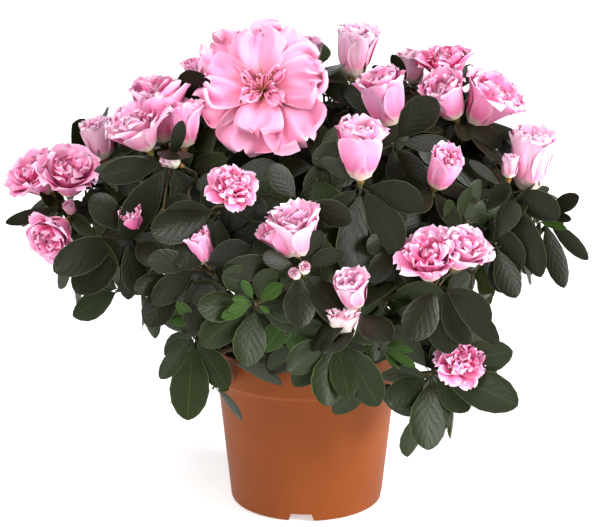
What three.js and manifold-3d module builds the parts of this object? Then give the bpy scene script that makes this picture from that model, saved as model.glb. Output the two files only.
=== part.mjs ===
// Azalea shrub in a round plastic nursery pot.
// Millimetres, +Z up. The origin is on the ground at the centre of the pot's foot.
// The plant's best side, where most of its low sprays hang, faces -Y.

import * as THREE from 'three';
import { mergeVertices } from 'three/addons/utils/BufferGeometryUtils.js';
import Module from 'manifold-3d';

// Pot, a 13 cm size
const POT_HEIGHT = 111;
const RIM_RADIUS = 65;
const BAND_HEIGHT = 22.7; // the proud collar under the rim
const BODY_TOP_RADIUS = 59.3; // where the body meets the collar
const FOOT_RADIUS = 49.9;
const WALL = 1.6;
const FLOOR_UNDERSIDE = 6; // the floor is raised on the foot ring
const FOOT_RING_WIDTH = 5;
const FOOT_RING_TAPER = 0.5; // the ring is thicker where it meets the floor
const FOOT_SPREAD = 0.4; // the wall is this much wider just above the ground than at it
const COLLAR_STEP = 1; // height of the slope from the body out to the collar
const LIP_RADIUS = 0.8;
const EDGE_RADIUS = 3;
const POT_SEGMENTS = 36;
const NOTCH = { count: 4, turn: -4, bottomWidth: 17, topWidth: 13.5, height: 5.6, inward: 10 };
const DRAIN = { count: 6, radius: 5, ring: 26, sides: 12 };
const CUT_MARGIN = 4; // how far a cutter stands clear of what it cuts

// Compost
const COMPOST_TOP = 101; // level round the stem
const COMPOST_EDGE = 98.5; // where it meets the pot's wall
const COMPOST_LEVEL_RADIUS = 16;

// Stem and boughs
const STEM_HEIGHT = 46; // from the compost to its tip
const STEM_RADIUS = 7.5; // above the flare
const STEM_FLARE = 5; // added at the ground
const STEM_TIP_RADIUS = 5;
const STEM_LEAN = 4;
const STEM_SIDES = 10;
const STEM_STEPS = 6;
const BOUGH_BASE_RADIUS = 3.6;
const BOUGH_TIP_RADIUS = 1.8;
const BOUGH_SIDES = 5;
const BOUGH_STEPS = 4;
const BOUGH_SAG = 9; // how far a limb bows below the straight line
const BOUGH_ZONE = { from: 0.3, to: 0.96 }; // where along the stem the boughs leave it
const BOUGH_KNEE = { out: 11, up: 7 }; // the first bend of a bough, from the stem's middle

// Crown
const CROWN_WIDTH = 378; // along X
const CROWN_DEPTH = 360; // along Y
const PLANT_HEIGHT = 322;
const LOWEST_LEAF = 72;
const CROWN_HEART = new THREE.Vector3(0, 0, 175); // the masses lie round this point
const MASS_DETAIL = 3;
const UNDERSIDE_DEPTH = 0.72; // a mass is shallower on the side towards the heart
const LUMPS = { count: 11, height: 0.24, sharpness: 13, leastShare: 0.4 };
const MASS_BASE = 0.9; // a mass's radius between its lumps, as a share of its half size

const GAP = 0.3; // between pieces that touch
const POT_CLEARANCE = 1.2; // between the pot and the leaves that hang over it

// Every mass is a pad that faces out from the heart: where it lies (turn from -Y towards +X, and
// tilt up from level, in degrees; out, in mm), its half width, half height and half thickness,
// how far it droops (degrees) and the seed of its lumps.
const MASSES = [
  { name: 'crown_top', turn: 20, tilt: 84, out: 108, size: [82, 70, 40], droop: 0, seed: 1 },
  { name: 'upper_front', turn: 9, tilt: 40, out: 116, size: [76, 54, 38], droop: 6, seed: 2 },
  { name: 'upper_left', turn: -82, tilt: 38, out: 128, size: [70, 52, 38], droop: 4, seed: 3 },
  { name: 'upper_right', turn: 87, tilt: 43, out: 138, size: [74, 54, 38], droop: 4, seed: 4 },
  { name: 'upper_back', turn: 178, tilt: 33, out: 124, size: [84, 58, 38], droop: 4, seed: 5 },
  { name: 'outer_left', turn: -86, tilt: 17, out: 160, size: [66, 46, 36], droop: 2, seed: 6 },
  { name: 'outer_right', turn: 90, tilt: 13, out: 156, size: [66, 48, 38], droop: 4, seed: 7 },
  { name: 'front_left', turn: -42, tilt: 13, out: 150, size: [68, 50, 36], droop: 4, seed: 8 },
  { name: 'front_right', turn: 44, tilt: 11, out: 150, size: [66, 54, 36], droop: 8, seed: 9 },
  { name: 'front_middle', turn: 1, tilt: 5, out: 140, size: [60, 52, 34], droop: 12, seed: 10 },
  { name: 'back_left', turn: -147, tilt: 6, out: 148, size: [84, 64, 38], droop: 8, seed: 11 },
  { name: 'back_right', turn: 144, tilt: 6, out: 150, size: [84, 64, 38], droop: 8, seed: 12 },
  { name: 'low_left', turn: -37, tilt: -24, out: 127, size: [23, 42, 22], droop: 10, seed: 14 },
  { name: 'low_right', turn: 39, tilt: -24, out: 152, size: [52, 42, 25], droop: 14, seed: 15 },
  { name: 'low_front', turn: 2, tilt: -24, out: 109, size: [62, 30, 24], droop: 16, seed: 16 },
];

const wasm = await Module();
wasm.setup();

// ---- Materials -------------------------------------------------------------------------------

const terracottaPlastic = new THREE.MeshStandardMaterial({
  color: 0xb0683f, roughness: 0.45, metalness: 0,
});
const peatCompost = new THREE.MeshStandardMaterial({ color: 0x2a1c12, roughness: 0.95, metalness: 0 });
const woodyBark = new THREE.MeshStandardMaterial({ color: 0x6b4d38, roughness: 0.9, metalness: 0 });
const leafGreen = new THREE.MeshStandardMaterial({ color: 0x36412a, roughness: 0.5, metalness: 0 });

// ---- From three.js geometry to a solid and back ----------------------------------------------

function mergedGeometry(geometry) {
  const bare = geometry.clone();
  bare.deleteAttribute('normal');
  bare.deleteAttribute('uv');
  return mergeVertices(bare, 1e-4);
}

function solidOf(geometry) {
  const merged = mergedGeometry(geometry);
  return new wasm.Manifold(new wasm.Mesh({
    numProp: 3,
    vertProperties: new Float32Array(merged.attributes.position.array),
    triVerts: new Uint32Array(merged.index.array),
  }));
}

function geometryOf(solid) {
  const mesh = solid.getMesh();
  const geometry = new THREE.BufferGeometry();
  geometry.setAttribute('position', new THREE.BufferAttribute(mesh.vertProperties, 3));
  geometry.setIndex(new THREE.BufferAttribute(mesh.triVerts, 1));
  geometry.computeVertexNormals();
  return geometry;
}

function largestPiece(solid) {
  const pieces = solid.decompose();
  return pieces.reduce((best, piece) => (piece.volume() > best.volume() ? piece : best));
}

function cutBy(solid, others) {
  return others.reduce((left, other) => left.subtract(other), solid);
}

function addMesh(group, name, solid, material) {
  const mesh = new THREE.Mesh(geometryOf(solid), material);
  mesh.name = name;
  group.add(mesh);
}

// ---- Pot -------------------------------------------------------------------------------------

// An outline turned about the vertical axis; outline points are [radius, height].
function turned(outline) {
  const points = outline.map(([radius, height]) => new THREE.Vector2(radius, height));
  return new THREE.LatheGeometry(points, POT_SEGMENTS).rotateX(Math.PI / 2);
}

// Points of a quarter round, from one direction to the other, in degrees.
function roundCorner(centreRadius, centreHeight, radius, from, to, steps = 2) {
  const points = [];
  for (let i = 0; i <= steps; i += 1) {
    const angle = THREE.MathUtils.degToRad(from + ((to - from) * i) / steps);
    points.push([centreRadius + radius * Math.cos(angle), centreHeight + radius * Math.sin(angle)]);
  }
  return points;
}

const bandBottom = POT_HEIGHT - BAND_HEIGHT;
const bodySlope = (BODY_TOP_RADIUS - FOOT_RADIUS) / bandBottom;
const bodyRadiusAt = (height) => FOOT_RADIUS + bodySlope * height;
const floorTop = FLOOR_UNDERSIDE + WALL;

function potOutside(clearance = 0) {
  return [
    ...roundCorner(FOOT_RADIUS - EDGE_RADIUS + FOOT_SPREAD + clearance, EDGE_RADIUS, EDGE_RADIUS, -90, 0),
    [bodyRadiusAt(bandBottom - COLLAR_STEP) + clearance, bandBottom - COLLAR_STEP],
    ...roundCorner(RIM_RADIUS - EDGE_RADIUS + clearance, bandBottom + EDGE_RADIUS, EDGE_RADIUS, -90, 0),
    ...roundCorner(RIM_RADIUS - LIP_RADIUS + clearance, POT_HEIGHT - LIP_RADIUS, LIP_RADIUS, 0, 90, 1),
  ];
}

function potShell() {
  const ringInner = FOOT_RADIUS - FOOT_RING_WIDTH;
  return solidOf(turned([
    [0, FLOOR_UNDERSIDE],
    [ringInner - FOOT_RING_TAPER, FLOOR_UNDERSIDE],
    [ringInner, 0],
    ...potOutside(),
    [RIM_RADIUS - WALL, POT_HEIGHT],
    [RIM_RADIUS - WALL, bandBottom + EDGE_RADIUS],
    [RIM_RADIUS - WALL - EDGE_RADIUS, bandBottom + WALL],
    [bodyRadiusAt(bandBottom) - WALL, bandBottom],
    [bodyRadiusAt(floorTop) - WALL, floorTop],
    [0, floorTop],
  ]));
}

// One drainage notch: a low slanted-sided arch cut through the foot ring, facing -Y.
function notchCutter() {
  const { bottomWidth, topWidth, height, inward } = NOTCH;
  const below = 1;
  const spread = ((bottomWidth - topWidth) / height) * below;
  const arch = new THREE.Shape([
    new THREE.Vector2(-(bottomWidth + spread) / 2, -below),
    new THREE.Vector2((bottomWidth + spread) / 2, -below),
    new THREE.Vector2(topWidth / 2, height),
    new THREE.Vector2(-topWidth / 2, height),
  ]);
  const prism = new THREE.ExtrudeGeometry(arch, { depth: inward + CUT_MARGIN, bevelEnabled: false });
  return prism.rotateX(Math.PI / 2).translate(0, -(FOOT_RADIUS - inward), 0);
}

function drainCutter() {
  const length = WALL + 2 * CUT_MARGIN;
  const hole = new THREE.CylinderGeometry(DRAIN.radius, DRAIN.radius, length, DRAIN.sides);
  return hole.rotateX(Math.PI / 2).translate(0, -DRAIN.ring, FLOOR_UNDERSIDE + WALL / 2);
}

function ringOf(makeCutter, count, turn) {
  const cutters = [];
  for (let i = 0; i < count; i += 1) {
    const angle = THREE.MathUtils.degToRad(turn + (360 * i) / count);
    cutters.push(solidOf(makeCutter().rotateZ(angle)));
  }
  return cutters;
}

const pot = cutBy(potShell(), [
  ...ringOf(notchCutter, NOTCH.count, NOTCH.turn),
  ...ringOf(drainCutter, DRAIN.count, NOTCH.turn),
]);

// ---- Compost ---------------------------------------------------------------------------------

const compost = solidOf(turned([
  [0, floorTop + GAP],
  [bodyRadiusAt(floorTop) - WALL - GAP, floorTop + GAP],
  [bodyRadiusAt(bandBottom) - WALL - GAP, bandBottom],
  [RIM_RADIUS - WALL - EDGE_RADIUS - GAP, bandBottom + WALL + GAP],
  [RIM_RADIUS - WALL - GAP, bandBottom + EDGE_RADIUS + GAP],
  [RIM_RADIUS - WALL - GAP, COMPOST_EDGE],
  [COMPOST_LEVEL_RADIUS, COMPOST_TOP],
  [0, COMPOST_TOP],
]));

// ---- Limbs -----------------------------------------------------------------------------------

// A tapering limb: a closed cylinder bent along a curve, with its radius given by radiusAt(t).
function limbGeometry(curve, radiusAt, sides, steps) {
  const geometry = new THREE.CylinderGeometry(1, 1, 1, sides, steps);
  const position = geometry.attributes.position;
  const along = new THREE.Vector3();
  const side = new THREE.Vector3();
  const across = new THREE.Vector3();
  const reference = new THREE.Vector3(0.31, 0.95, 0.05).normalize(); // no limb runs along this
  for (let i = 0; i < position.count; i += 1) {
    const t = position.getY(i) + 0.5;
    const radius = radiusAt(t);
    curve.getTangent(t, along);
    side.copy(reference).addScaledVector(along, -reference.dot(along)).normalize();
    across.crossVectors(side, along);
    const point = curve.getPoint(t)
      .addScaledVector(side, position.getX(i) * radius)
      .addScaledVector(across, position.getZ(i) * radius);
    position.setXYZ(i, point.x, point.y, point.z);
  }
  return geometry;
}

const stemFoot = new THREE.Vector3(0, 0, COMPOST_TOP + GAP);
const stemTip = new THREE.Vector3(STEM_LEAN, STEM_LEAN / 2, COMPOST_TOP + GAP + STEM_HEIGHT);
const stemCurve = new THREE.CatmullRomCurve3([
  stemFoot,
  new THREE.Vector3(0, 0, stemFoot.z + STEM_HEIGHT * 0.3),
  new THREE.Vector3(-STEM_LEAN / 3, STEM_LEAN / 2, stemFoot.z + STEM_HEIGHT * 0.65),
  stemTip,
]);

function stemRadius(t) {
  const taper = THREE.MathUtils.lerp(STEM_RADIUS, STEM_TIP_RADIUS, t);
  return taper + STEM_FLARE * Math.exp(-t * 9);
}

// The stem is cut flat where it leaves the compost.
function stemSolid(extra = 0) {
  const geometry = limbGeometry(stemCurve, (t) => stemRadius(t) + extra, STEM_SIDES, STEM_STEPS);
  return solidOf(geometry).trimByPlane([0, 0, 1], stemFoot.z);
}

// ---- Masses of foliage -----------------------------------------------------------------------

function seededRandom(seed) {
  let state = (seed * 7919 + 104729) % 2147483647;
  return () => {
    state = (state * 48271) % 2147483647;
    return state / 2147483647;
  };
}

function randomDirection(random) {
  const height = 2 * random() - 1;
  const angle = 2 * Math.PI * random();
  const level = Math.sqrt(1 - height * height);
  return new THREE.Vector3(level * Math.cos(angle), level * Math.sin(angle), height);
}

function directionOf(turn, tilt) {
  const a = THREE.MathUtils.degToRad(turn);
  const e = THREE.MathUtils.degToRad(tilt);
  return new THREE.Vector3(Math.sin(a) * Math.cos(e), -Math.cos(a) * Math.cos(e), Math.sin(e));
}

// A pad with uneven lumps, one for each group of shoot tips.
function massGeometry({ turn, tilt, out, size, droop, seed }) {
  const random = seededRandom(seed);
  const lumps = [];
  for (let i = 0; i < LUMPS.count; i += 1) {
    lumps.push({ at: randomDirection(random), height: LUMPS.height * (LUMPS.leastShare + random()) });
  }
  const facing = directionOf(turn, Math.min(tilt + droop, 90));
  const level = new THREE.Vector3(Math.cos(THREE.MathUtils.degToRad(turn)),
    Math.sin(THREE.MathUtils.degToRad(turn)), 0);
  const upward = new THREE.Vector3().crossVectors(facing, level);
  const centre = directionOf(turn, tilt).multiplyScalar(out).add(CROWN_HEART);
  const geometry = mergedGeometry(new THREE.IcosahedronGeometry(1, MASS_DETAIL));
  const position = geometry.attributes.position;
  const direction = new THREE.Vector3();
  for (let i = 0; i < position.count; i += 1) {
    direction.fromBufferAttribute(position, i);
    const swell = lumps.reduce((sum, lump) => (
      sum + lump.height * Math.exp(LUMPS.sharpness * (direction.dot(lump.at) - 1))), MASS_BASE);
    const depth = direction.z > 0 ? size[2] : size[2] * UNDERSIDE_DEPTH;
    const point = centre.clone()
      .addScaledVector(level, direction.x * size[0] * swell)
      .addScaledVector(upward, direction.y * size[1] * swell)
      .addScaledVector(facing, direction.z * depth * swell);
    position.setXYZ(i, point.x, point.y, point.z);
  }
  return geometry;
}

// The crown as a whole is brought to its own width, depth and height, centred over the pot.
function fitCrown(geometries) {
  const box = new THREE.Box3();
  for (const geometry of geometries) {
    geometry.computeBoundingBox();
    box.union(geometry.boundingBox);
  }
  const size = box.getSize(new THREE.Vector3());
  const centre = box.getCenter(new THREE.Vector3());
  const fit = new THREE.Matrix4().makeScale(
    CROWN_WIDTH / size.x, CROWN_DEPTH / size.y, (PLANT_HEIGHT - LOWEST_LEAF) / size.z);
  const toMiddle = new THREE.Matrix4().makeTranslation(-centre.x, -centre.y, -box.min.z);
  const lift = new THREE.Matrix4().makeTranslation(0, 0, LOWEST_LEAF);
  for (const geometry of geometries) {
    geometry.applyMatrix4(toMiddle).applyMatrix4(fit).applyMatrix4(lift);
  }
}

function centreOf(geometry) {
  geometry.computeBoundingBox();
  return geometry.boundingBox.getCenter(new THREE.Vector3());
}

// The same mass, larger by the gap all round.
function grown(geometry, extra) {
  const centre = centreOf(geometry);
  geometry.computeBoundingBox();
  const size = geometry.boundingBox.getSize(new THREE.Vector3());
  const copy = geometry.clone().translate(-centre.x, -centre.y, -centre.z);
  copy.scale(1 + (2 * extra) / size.x, 1 + (2 * extra) / size.y, 1 + (2 * extra) / size.z);
  return solidOf(copy.translate(centre.x, centre.y, centre.z));
}

const massGeometries = MASSES.map(massGeometry);
fitCrown(massGeometries);
const grownMasses = massGeometries.map((geometry) => grown(geometry, 2 * GAP));
const potSpace = solidOf(turned([
  [0, -1],
  ...potOutside(POT_CLEARANCE),
  [0, POT_HEIGHT],
]));
const potKeepOut = potSpace.add(potSpace.translate([0, 0, POT_CLEARANCE]));
const masses = massGeometries.map((geometry, index) => (
  largestPiece(cutBy(solidOf(geometry), [potKeepOut, ...grownMasses.slice(0, index)]))));

// ---- Boughs ----------------------------------------------------------------------------------

// Boughs leave the stem in a spiral, lowest first; each bows out and rises into its own mass.
function boughCurve(index, target) {
  const order = boughOrder.indexOf(index);
  const share = (order + 0.5) / boughOrder.length;
  const start = stemCurve.getPoint(THREE.MathUtils.lerp(BOUGH_ZONE.from, BOUGH_ZONE.to, share));
  const outward = new THREE.Vector3(target.x - start.x, target.y - start.y, 0).normalize();
  const reach = target.clone().sub(start);
  const inner = start.clone().addScaledVector(outward, -1);
  const knee = new THREE.Vector3(0, 0, BOUGH_KNEE.up);
  const first = start.clone().addScaledVector(outward, BOUGH_KNEE.out).add(knee);
  const middle = start.clone().addScaledVector(reach, 0.5).add(new THREE.Vector3(0, 0, -BOUGH_SAG));
  const high = Math.max(first.z, middle.z);
  middle.z = reach.z > 0 ? high : Math.max(middle.z, POT_HEIGHT + BOUGH_SAG);
  return new THREE.CatmullRomCurve3([inner, first, middle, target]);
}

function boughSolid(curve, extra = 0) {
  const radiusAt = (t) => THREE.MathUtils.lerp(BOUGH_BASE_RADIUS, BOUGH_TIP_RADIUS, t) + extra;
  return solidOf(limbGeometry(curve, radiusAt, BOUGH_SIDES, BOUGH_STEPS));
}

const targets = massGeometries.map(centreOf);
const boughOrder = targets
  .map((target, index) => ({ index, height: target.z }))
  .sort((a, b) => a.height - b.height)
  .map((entry) => entry.index);
const boughCurves = targets.map((target, index) => boughCurve(index, target));
const stem = stemSolid();
const stemKeepOut = stemSolid(GAP);
const boughKeepOuts = boughCurves.map((curve) => boughSolid(curve, GAP));
const boughs = boughCurves.map((curve, index) => largestPiece(cutBy(boughSolid(curve), [
  stemKeepOut, potKeepOut, ...grownMasses, ...boughKeepOuts.slice(0, index)])));

// ---- The whole plant -------------------------------------------------------------------------

const azalea = new THREE.Group();
addMesh(azalea, 'pot', pot, terracottaPlastic);
addMesh(azalea, 'compost', compost, peatCompost);
addMesh(azalea, 'stem', stem, woodyBark);
MASSES.forEach(({ name }, index) => {
  addMesh(azalea, `bough_${name}`, boughs[index], woodyBark);
});
MASSES.forEach(({ name }, index) => {
  addMesh(azalea, `foliage_${name}`, masses[index], leafGreen);
});

export default azalea;
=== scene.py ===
import math
import random

import bpy
import numpy as np
from mathutils import Matrix, Vector
from mathutils.bvhtree import BVHTree


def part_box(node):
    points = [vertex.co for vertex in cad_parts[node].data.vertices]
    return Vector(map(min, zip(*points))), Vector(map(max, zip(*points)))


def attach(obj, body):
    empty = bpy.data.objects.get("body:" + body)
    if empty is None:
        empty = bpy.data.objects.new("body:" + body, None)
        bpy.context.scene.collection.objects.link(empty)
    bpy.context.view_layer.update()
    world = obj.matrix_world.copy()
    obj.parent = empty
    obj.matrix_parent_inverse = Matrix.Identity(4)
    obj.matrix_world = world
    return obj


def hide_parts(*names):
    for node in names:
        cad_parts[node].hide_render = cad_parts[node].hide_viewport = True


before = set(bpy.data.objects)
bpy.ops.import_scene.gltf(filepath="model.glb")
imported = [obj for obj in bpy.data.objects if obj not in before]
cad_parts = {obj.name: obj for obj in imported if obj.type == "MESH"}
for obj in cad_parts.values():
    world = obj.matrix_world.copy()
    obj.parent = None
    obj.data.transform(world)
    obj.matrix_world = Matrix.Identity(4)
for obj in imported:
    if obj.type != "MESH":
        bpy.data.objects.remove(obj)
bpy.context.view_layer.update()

# A potted azalea in full flower. Metres, +Z up, the pot's foot centred on the origin.
# The plant's best side faces -Y.


# ---- Camera -----------------------------------------------------------------------------------
# A long portrait lens in front of the best side, a little above the crown, looking down at the
# middle of the plant. It stands slightly left of the pot's axis.

CAMERA_PLACE = Vector((-0.0043, -1.634, 0.6475))
CAMERA_AIM = Vector((-0.0043, 0, 0.1615))
camera_data = bpy.data.cameras.new("camera")
camera_data.sensor_width = 36
camera_data.lens = 156.4
camera = bpy.data.objects.new("camera", camera_data)
camera.location = CAMERA_PLACE
camera.rotation_euler = (CAMERA_AIM - CAMERA_PLACE).to_track_quat("-Z", "Y").to_euler()
bpy.context.collection.objects.link(camera)
bpy.context.scene.camera = camera
bpy.context.scene.view_settings.view_transform = "Standard"


# ---- Studio -----------------------------------------------------------------------------------
# A white sweep lit softly from all round, with a large softbox at the right and a weaker one at
# the left. The floor is a broad pale sheet, and isn't part of the plant.

FLOOR_WIDTH = 30
FLOOR_GLOW = 0.5
SKY_ON_PLANT = 0.33
SKY_SEEN = 1


def paint(red, green, blue):
    """A display colour, 0 to 255, as the linear colour that a shader takes."""
    def linear(level):
        share = level / 255
        return share / 12.92 if share <= 0.04045 else ((share + 0.055) / 1.055) ** 2.4
    return linear(red), linear(green), linear(blue), 1


def new_material(name, colour, roughness):
    """A material with its Principled shader set to one colour and one roughness."""
    material = bpy.data.materials.new(name)
    material.use_nodes = True
    shader = material.node_tree.nodes["Principled BSDF"]
    shader.inputs["Base Color"].default_value = colour
    shader.inputs["Roughness"].default_value = roughness
    return material, shader


def softbox(name, place, aim, size, power):
    """A square area light, its size in metres and its power in watts, turned towards the aim."""
    light = bpy.data.lights.new(name, "AREA")
    light.shape = "SQUARE"
    light.size = size
    light.energy = power
    lamp = bpy.data.objects.new(name, light)
    lamp.location = place
    lamp.rotation_euler = (Vector(aim) - Vector(place)).to_track_quat("-Z", "Y").to_euler()
    bpy.context.collection.objects.link(lamp)


world = bpy.data.worlds.new("white_studio")
bpy.context.scene.world = world
world.use_nodes = True
background = world.node_tree.nodes["Background"]
background.inputs["Color"].default_value = (1, 1, 1, 1)
sight = world.node_tree.nodes.new("ShaderNodeLightPath")
strength = world.node_tree.nodes.new("ShaderNodeMapRange")
strength.inputs["To Min"].default_value = SKY_ON_PLANT
strength.inputs["To Max"].default_value = SKY_SEEN
world.node_tree.links.new(sight.outputs["Is Camera Ray"], strength.inputs["Value"])
world.node_tree.links.new(strength.outputs["Result"], background.inputs["Strength"])

softbox("key_right", (1.7, -0.95, 0.85), (0, 0, 0.2), 0.9, 60)
softbox("fill_left", (-1.1, -1.8, 0.9), (0, 0, 0.2), 1.0, 10)
softbox("back_left", (-0.6, 2.1, 1.1), (0, 0, 0.2), 1.2, 9)
softbox("top_left", (-0.7, -0.8, 1.8), (0, 0, 0.25), 1.0, 27)

bpy.ops.object.select_all(action="DESELECT")
bpy.ops.mesh.primitive_plane_add(size=FLOOR_WIDTH)
floor = bpy.context.object
floor.name = "floor"
floor_material, floor_shader = new_material("pale_floor", (0.93, 0.93, 0.93, 1), 0.9)
floor_shader.inputs["Emission Color"].default_value = (1, 1, 1, 1)
floor_shader.inputs["Emission Strength"].default_value = FLOOR_GLOW
floor.data.materials.append(floor_material)


# ---- Pot --------------------------------------------------------------------------------------
# A round 13 cm nursery pot, injection moulded in terracotta-coloured plastic. It has a proud
# collar under the rim, a raised floor, and notches in the foot ring that let water out.

MM = 0.001
pot_high = Vector(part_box("pot")[1])
POT_RIM = pot_high.x
POT_HEIGHT = pot_high.z
POT_BAND = 22.7 * MM
POT_BODY_TOP = 59.3 * MM
POT_FOOT = 49.9 * MM
POT_WALL = 1.3 * MM
POT_FLOOR = 6 * MM
POT_FOOT_RING = 4 * MM
POT_SEGMENTS = 144
NOTCH_HEIGHT = 5.6 * MM
NOTCH_TOP = 13.5 * MM
NOTCH_BOTTOM = 17 * MM
NOTCH_TURN = -4
DRAIN_RADIUS = 5 * MM
DRAIN_RING = 26 * MM


def only(piece):
    """Leaves one object selected and active."""
    bpy.ops.object.select_all(action="DESELECT")
    piece.select_set(True)
    bpy.context.view_layer.objects.active = piece


def quarter_round(radius, height, size, start, end, steps=5):
    """Points round a corner, as (radius, height), from one angle to the other in degrees."""
    points = []
    for step in range(steps + 1):
        angle = math.radians(start + (end - start) * step / steps)
        points.append((radius + size * math.cos(angle), height + size * math.sin(angle)))
    return points


def turned(name, outline, segments):
    """A ring extruded along an outline of (radius, height) points, closed at both ends."""
    bpy.ops.object.select_all(action="DESELECT")
    radius, height = outline[0]
    bpy.ops.mesh.primitive_circle_add(vertices=segments, radius=radius, fill_type="NGON",
                                      location=(0, 0, height))
    piece = bpy.context.object
    piece.name = name
    bpy.ops.object.transform_apply(location=True, rotation=True, scale=True)
    bpy.ops.object.mode_set(mode="EDIT")
    bpy.ops.mesh.select_all(action="SELECT")
    for next_radius, next_height in outline[1:]:
        bpy.ops.mesh.extrude_region_move(
            TRANSFORM_OT_translate={"value": (0, 0, next_height - height)})
        growth = next_radius / radius
        bpy.ops.transform.resize(value=(growth, growth, 1), center_override=(0, 0, next_height))
        radius, height = next_radius, next_height
    bpy.ops.mesh.select_all(action="SELECT")
    bpy.ops.mesh.normals_make_consistent(inside=False)
    bpy.ops.object.mode_set(mode="OBJECT")
    return piece


def cut_away(piece, cutter):
    """Cuts one closed piece out of another and removes the cutter."""
    only(piece)
    cut = piece.modifiers.new("cut", "BOOLEAN")
    cut.operation = "DIFFERENCE"
    cut.solver = "EXACT"
    cut.object = cutter
    bpy.ops.object.modifier_apply(modifier=cut.name)
    bpy.data.objects.remove(cutter)


def fine_relief(material, shader, scale, strength, distance, coordinates="Object"):
    """Feeds a fine noise bump to a shader's normal."""
    nodes = material.node_tree.nodes
    links = material.node_tree.links
    place = nodes.new("ShaderNodeTexCoord")
    noise = nodes.new("ShaderNodeTexNoise")
    noise.inputs["Scale"].default_value = scale
    noise.inputs["Detail"].default_value = 4
    bump = nodes.new("ShaderNodeBump")
    bump.inputs["Strength"].default_value = strength
    bump.inputs["Distance"].default_value = distance
    links.new(place.outputs[coordinates], noise.inputs["Vector"])
    links.new(noise.outputs["Fac"], bump.inputs["Height"])
    links.new(bump.outputs["Normal"], shader.inputs["Normal"])


def make_uneven_tint():
    """Node group: a colour that drifts towards a second one in soft patches."""
    group = bpy.data.node_groups.new("uneven_tint", "ShaderNodeTree")
    face = group.interface
    face.new_socket("Main", in_out="INPUT", socket_type="NodeSocketColor")
    face.new_socket("Patches", in_out="INPUT", socket_type="NodeSocketColor")
    face.new_socket("Scale", in_out="INPUT", socket_type="NodeSocketFloat")
    face.new_socket("Color", in_out="OUTPUT", socket_type="NodeSocketColor")
    nodes = group.nodes
    entry = nodes.new("NodeGroupInput")
    leave = nodes.new("NodeGroupOutput")
    place = nodes.new("ShaderNodeTexCoord")
    noise = nodes.new("ShaderNodeTexNoise")
    noise.inputs["Detail"].default_value = 5
    mix = nodes.new("ShaderNodeMix")
    mix.data_type = "RGBA"
    spread = nodes.new("ShaderNodeMapRange")
    spread.inputs["From Min"].default_value = 0.35
    spread.inputs["From Max"].default_value = 0.68
    link = group.links.new
    link(place.outputs["Object"], noise.inputs["Vector"])
    link(entry.outputs["Scale"], noise.inputs["Scale"])
    link(noise.outputs["Fac"], spread.inputs["Value"])
    link(spread.outputs["Result"], mix.inputs["Factor"])
    link(entry.outputs["Main"], mix.inputs["A"])
    link(entry.outputs["Patches"], mix.inputs["B"])
    link(mix.outputs["Result"], leave.inputs["Color"])
    return group


uneven_tint = make_uneven_tint()


def tint_unevenly(material, shader, main, patches, scale):
    """Drives a shader's base colour with the uneven_tint group."""
    tint = material.node_tree.nodes.new("ShaderNodeGroup")
    tint.node_tree = uneven_tint
    tint.inputs["Main"].default_value = main
    tint.inputs["Patches"].default_value = patches
    tint.inputs["Scale"].default_value = scale
    material.node_tree.links.new(tint.outputs["Color"], shader.inputs["Base Color"])


band_bottom = POT_HEIGHT - POT_BAND
body_slope = (POT_BODY_TOP - POT_FOOT) / band_bottom
inner_floor = POT_FLOOR + POT_WALL
lip = 0.6 * MM
fillet = 3 * MM
pot_outline = [(1 * MM, POT_FLOOR), (POT_FOOT - POT_FOOT_RING - 1 * MM, POT_FLOOR)]
pot_outline += [(POT_FOOT - POT_FOOT_RING, 0.3 * MM), (POT_FOOT - POT_FOOT_RING + 0.5 * MM, 0)]
pot_outline += quarter_round(POT_FOOT - fillet + 0.4 * MM, fillet, fillet, -90, 0)
pot_outline += [(POT_BODY_TOP - 0.7 * MM, band_bottom - 7 * MM)]
pot_outline += quarter_round(POT_BODY_TOP + 2.2 * MM, band_bottom - 2.2 * MM, 2.2 * MM, 180, 90, 3)
pot_outline += quarter_round(POT_RIM - fillet, band_bottom + fillet, fillet, -90, 0)
pot_outline += [(POT_RIM - 0.4 * MM, POT_HEIGHT - 6 * MM)]
pot_outline += quarter_round(POT_RIM - lip, POT_HEIGHT - lip, lip, 0, 180, 8)
pot_outline += [(POT_RIM - 2 * lip - 0.3 * MM, POT_HEIGHT - 6 * MM)]
pot_outline += [(POT_RIM - POT_WALL - 0.4 * MM, band_bottom + fillet)]
pot_outline += [(POT_RIM - POT_WALL - fillet, band_bottom + POT_WALL)]
pot_outline += [(POT_BODY_TOP - POT_WALL, band_bottom - 1 * MM)]
pot_outline += [(POT_FOOT + body_slope * inner_floor - POT_WALL, inner_floor), (1 * MM, inner_floor)]
pot = turned("pot_wall", pot_outline, POT_SEGMENTS)

for quarter in range(4):
    bpy.ops.mesh.primitive_cube_add(size=1)
    notch = bpy.context.object
    bpy.ops.object.mode_set(mode="EDIT")
    bpy.ops.mesh.select_all(action="SELECT")
    bpy.ops.transform.resize(value=(NOTCH_BOTTOM, 2 * POT_FOOT_RING + 8 * MM, 2 * NOTCH_HEIGHT))
    bpy.ops.object.mode_set(mode="OBJECT")
    for corner in notch.data.vertices:
        if corner.co.z > 0:
            corner.co.x *= NOTCH_TOP / NOTCH_BOTTOM
        else:
            corner.co.x *= 2 - NOTCH_TOP / NOTCH_BOTTOM
    turn = math.radians(NOTCH_TURN + 90 * quarter)
    notch.data.transform(Matrix.Rotation(turn, 4, "Z") @ Matrix.Translation((0, -POT_FOOT, 0)))
    cut_away(pot, notch)

for sixth in range(6):
    angle = math.radians(NOTCH_TURN + 60 * sixth)
    place = (DRAIN_RING * math.sin(angle), -DRAIN_RING * math.cos(angle), POT_FLOOR)
    bpy.ops.mesh.primitive_cylinder_add(vertices=24, radius=DRAIN_RADIUS, depth=8 * MM, location=place)
    cut_away(pot, bpy.context.object)

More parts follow.
